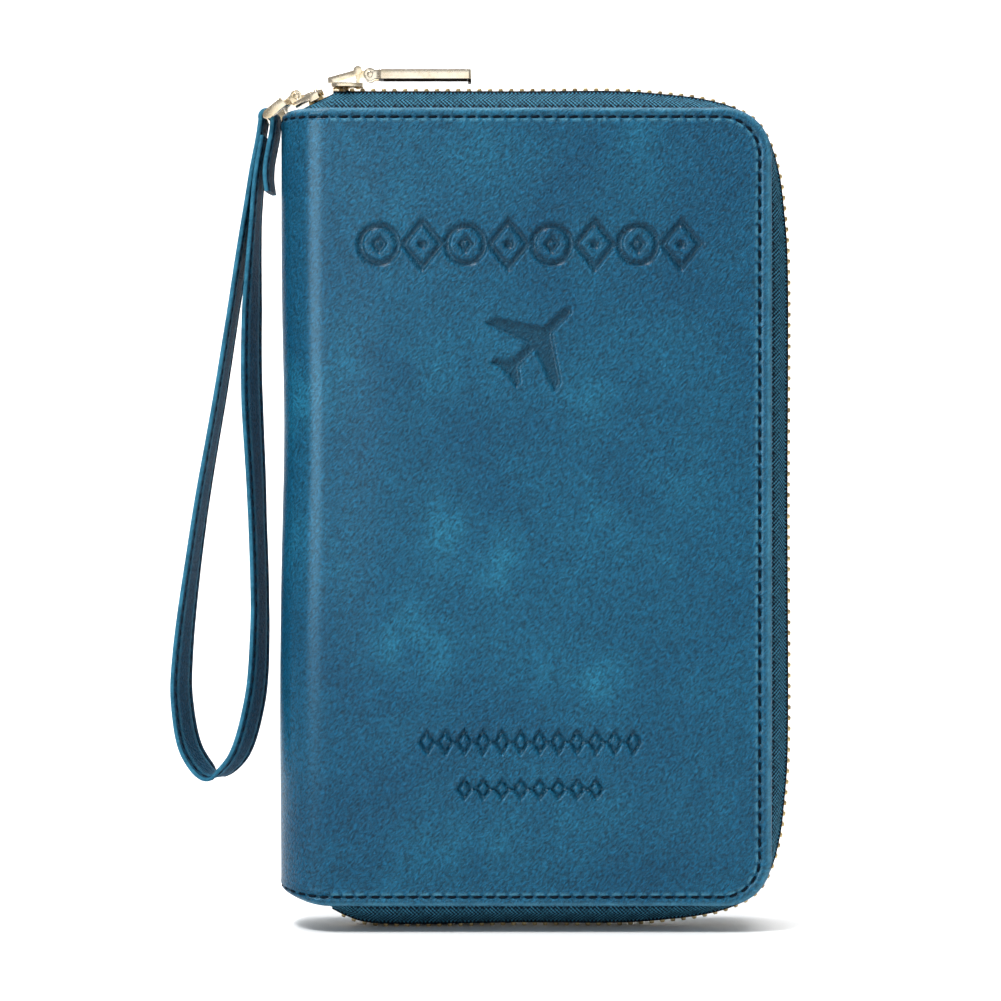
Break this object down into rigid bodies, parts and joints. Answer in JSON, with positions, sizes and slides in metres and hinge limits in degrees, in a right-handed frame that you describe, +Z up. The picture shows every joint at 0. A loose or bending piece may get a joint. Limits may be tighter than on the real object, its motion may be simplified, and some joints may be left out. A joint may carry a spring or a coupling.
{
  "type": "passport wallet",
  "caption": "Zip-around leather travel wallet with a round spine, metal zip with two sliders, bar pull, wrist strap, passport pocket and card slots.",
  "frame": {"origin": "middle of the back cover's flat outer face: X = 0 is half way between the spine's silhouette and the fore edge, Z = 0 is half the cover's height", "axes": "+X from the spine to the fore edge, +Y out of the back cover, so the front cover faces -Y, +Z up the wallet, with the long bar pull on the top edge"},
  "size_m": [0.1559, 0.025, 0.2189],
  "materials": {
    "cover_leather": "waxed teal leather with lighter patches and fine grain",
    "strap_leather": "waxed teal leather with painted edges",
    "pocket_leather": "thin teal leather",
    "lining_cloth": "fine plain-weave lining cloth",
    "zip_tape": "woven herringbone zip tape",
    "sewing_thread": "twisted polyester thread",
    "stiffener_board": "pressed fibre board",
    "zip_metal": "light gold plated teeth",
    "gold_hardware": "polished light gold plating"
  },
  "bodies": {
    "back_half": {"back_leather": "cover_leather", "back_board": "stiffener_board", "back_lining": "lining_cloth", "back_thread": "sewing_thread", "back_tape": "zip_tape", "back_teeth": "zip_metal", "ticket_pocket": "lining_cloth", "card_slot_top": "pocket_leather", "card_slot_middle": "pocket_leather", "card_slot_bottom": "pocket_leather"},
    "spine": {"spine_leather": "cover_leather", "spine_board": "stiffener_board", "spine_lining": "lining_cloth", "spine_thread": "sewing_thread", "spine_tape_top": "zip_tape", "spine_tape_bottom": "zip_tape", "spine_teeth": "zip_metal", "zip_end_stop": "zip_metal", "strap_slider": "gold_hardware", "strap_slider_crown": "gold_hardware"},
    "front_half": {"front_leather": "cover_leather", "front_board": "stiffener_board", "front_lining": "lining_cloth", "front_thread": "sewing_thread", "front_tape": "zip_tape", "front_teeth": "zip_metal", "passport_pocket": "pocket_leather"},
    "pull_slider": {"pull_slider": "gold_hardware", "pull_slider_crown": "gold_hardware"},
    "long_pull": {"long_pull": "gold_hardware", "long_pull_pin": "gold_hardware"},
    "strap_pull": {"strap_pull": "gold_hardware", "strap_pull_pin": "gold_hardware"},
    "strap": {"strap_loop": "strap_leather", "strap_tail": "strap_leather"}
  },
  "joints": [
    {"name": "back_fold", "type": "hinge", "parent": "back_half", "child": "spine", "pos_m": [-0.049, 0, 0], "axis": [0, 0, -1], "range_deg": [0, 90]},
    {"name": "front_fold", "type": "hinge", "parent": "spine", "child": "front_half", "pos_m": [-0.049, -0.025, 0], "axis": [0, 0, -1], "range_deg": [0, 90]},
    {"name": "pull_slider_travel", "type": "slide", "parent": "back_half", "child": "pull_slider", "axis": [1, 0, 0], "range_m": [0, 0.068]},
    {"name": "long_pull_turn", "type": "hinge", "parent": "pull_slider", "child": "long_pull", "pos_m": [-0.0398, -0.0125, 0.1103], "axis": [0, -1, 0], "range_deg": [0, 115]},
    {"name": "strap_pull_turn", "type": "hinge", "parent": "spine", "child": "strap_pull", "pos_m": [-0.05862, -0.0125, 0.10476], "axis": [0, 1, 0], "range_deg": [0, 90]},
    {"name": "strap_swing", "type": "hinge", "parent": "strap_pull", "child": "strap", "pos_m": [-0.06552, -0.0125, 0.09898], "axis": [0, 1, 0], "range_deg": [0, 75]}
  ],
  "couplings": [
    {"joint": "front_fold", "follows": "back_fold", "ratio": 1}
  ]
}
